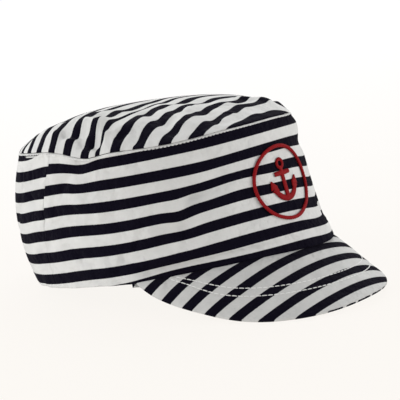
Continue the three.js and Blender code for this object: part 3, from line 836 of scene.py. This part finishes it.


# The studio: a pale floor that glows with painted light, so it hardly shows a shadow, and four soft boxes
studio = {
    "floorHalf": 3.0, "floorGlow": 0.965, "floorGrip": 0.045, "backdrop": 0.985, "fill": 0.47,
    "floorNear": (0.955, 0.925, 0.885), "floorFar": (0.985, 0.985, 0.985),
    "farStart": -0.1, "farEnd": 1.3, "farSideways": 0.76,  # where the floor's tint changes, in metres
    "lightAim": (0, 0, 0.05),
    "lights": {  # place, size and power
        "leftBox": ((-1.0, 1.1, 0.6), 1.0, 13.0),
        "sideBox": ((-1.7, -0.15, 0.2), 1.0, 9.5),
        "rightBox": ((0.9, -1.45, 0.4), 1.2, 20.0),
        "backBox": ((0.9, 0.8, 1.2), 1.3, 23.0),
    },
}


def layFloor():
    bpy.ops.mesh.primitive_plane_add(size=2 * studio["floorHalf"])
    floor = bpy.context.object
    floor.name = "floor"
    material, nodes, links, shader = newMaterial("paleFloor")
    place = nodes.new("ShaderNodeTexCoord")
    parts = nodes.new("ShaderNodeSeparateXYZ")
    links.new(place.outputs["Object"], parts.inputs[0])
    far = nodes.new("ShaderNodeMapRange")
    far.inputs["From Min"].default_value = studio["farStart"]
    far.inputs["From Max"].default_value = studio["farEnd"]
    sideways, ahead = parts.outputs[0], parts.outputs[1]
    reach = mathNode(nodes, links, "MULTIPLY_ADD", sideways, studio["farSideways"], ahead)
    links.new(reach, far.inputs["Value"])
    tint = mixColour(nodes, links, far.outputs["Result"], studio["floorNear"], studio["floorFar"])
    # the floor's emission is painted light: it glows, fills in the cap's shadow on the floor and lights the
    # cap from below
    shader.inputs["Base Color"].default_value = (*(studio["floorGrip"],) * 3, 1)  # shows hardly any shadow
    links.new(tint, shader.inputs["Emission Color"])
    shader.inputs["Emission Strength"].default_value = studio["floorGlow"]
    shader.inputs["Roughness"].default_value = 1
    shader.inputs["Specular IOR Level"].default_value = 0
    floor.data.materials.append(material)
    print("floor laid")


def setLights():
    for name, (at, size, power) in studio["lights"].items():
        lamp = bpy.data.lights.new(name, "AREA")
        lamp.shape, lamp.size, lamp.energy = "SQUARE", size, power
        holder = bpy.data.objects.new(name, lamp)
        holder.location = at
        toCap = Vector(studio["lightAim"]) - Vector(at)
        holder.rotation_euler = toCap.to_track_quat("-Z", "Y").to_euler()
        bpy.context.scene.collection.objects.link(holder)
    world = bpy.data.worlds.new("softRoom")
    bpy.context.scene.world = world
    world.use_nodes = True
    nodes, links = world.node_tree.nodes, world.node_tree.links
    ray = nodes.new("ShaderNodeLightPath")
    strength = nodes.new("ShaderNodeMapRange")
    strength.inputs["To Min"].default_value = studio["fill"]
    strength.inputs["To Max"].default_value = studio["backdrop"]
    links.new(ray.outputs["Is Camera Ray"], strength.inputs["Value"])
    nodes["Background"].inputs["Color"].default_value = (1, 1, 1, 1)
    links.new(strength.outputs["Result"], nodes["Background"].inputs["Strength"])
    bpy.context.scene.view_settings.view_transform = "Standard"
    print("lights set")


# The camera: where the photographer stood, seen from the cap
shot = {
    "azimuth": -49.871, "elevation": 12.710, "roll": -3.720, "distance": 1150.2, "focalPixels": 1945.3,
    "picture": 400, "sensor": 36, "aim": (0, 0, 30), "aimPixel": (173.0, 204.5),
}


def setCamera():
    azimuth, elevation, roll = (math.radians(shot[key]) for key in ("azimuth", "elevation", "roll"))
    level = math.cos(elevation)
    back = Vector((math.sin(azimuth) * level, -math.cos(azimuth) * level, math.sin(elevation)))
    right = Vector((math.cos(azimuth), math.sin(azimuth), 0))
    up = back.cross(right)
    right, up = right * math.cos(roll) + up * math.sin(roll), up * math.cos(roll) - right * math.sin(roll)
    aim = Vector(lieDown([shot["aim"]])[0].tolist())
    camera = bpy.data.cameras.new("camera")
    camera.sensor_width = shot["sensor"]
    camera.lens = shot["focalPixels"] * shot["sensor"] / shot["picture"]
    holder = bpy.data.objects.new("camera", camera)
    bpy.context.scene.collection.objects.link(holder)
    bpy.context.scene.camera = holder
    # turn the camera a little, so that the aim falls on its own pixel and not in the middle
    offRight = shot["picture"] / 2 - shot["aimPixel"][0]
    offUp = shot["aimPixel"][1] - shot["picture"] / 2
    forward = (-back * shot["focalPixels"] + right * offRight + up * offUp).normalized()
    side = (right - forward * right.dot(forward)).normalized()
    over = side.cross(forward)
    turn = Matrix((side, over, -forward)).transposed().to_4x4()
    holder.matrix_world = Matrix.Translation(aim + back * shot["distance"] * mm) @ turn
    print("camera placed")


# The cap, put together
def buildCap():
    bandCloth = stripedCotton("stripedCottonBand", bandStripes)
    topCloth = stripedCotton("stripedCottonTop", topStripes)
    visorCloth = stripedCotton("stripedCottonVisor", visorStripes)
    red, pale = thread("redThread"), thread("paleThread")
    sidePanel = bandPanel("sidePanel", sideTurn, bandCut["sideColumns"], bandCloth)
    backPanel = bandPanel("backPanel", backTurn, bandCut["backColumns"], bandCloth)
    top = crownTop(topCloth)
    visor, visorShape = visorPlate(visorCloth)
    seam = topSeamStitches(pale)
    rows = visorRows(visorShape, pale)
    ring = ropeRing(red)
    anchor = anchorStitches(red)
    for piece, node, slot in (
        (sidePanel, "side_panel", "striped_cotton_band"), (backPanel, "back_panel", "striped_cotton_band"),
        (top, "crown_top", "striped_cotton_top"), (visor, "visor", "striped_cotton_visor"),
        (ring, "embroidery_ring", "red_thread"), (anchor, "embroidery_anchor", "red_thread"),
    ):
        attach(piece, "root")
        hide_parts(node)
    for piece, slot in ((seam, "striped_cotton_band"), (rows, "striped_cotton_visor")):
        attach(piece, "root")
    print("cap put together")


setCamera()
layFloor()
setLights()
buildCap()
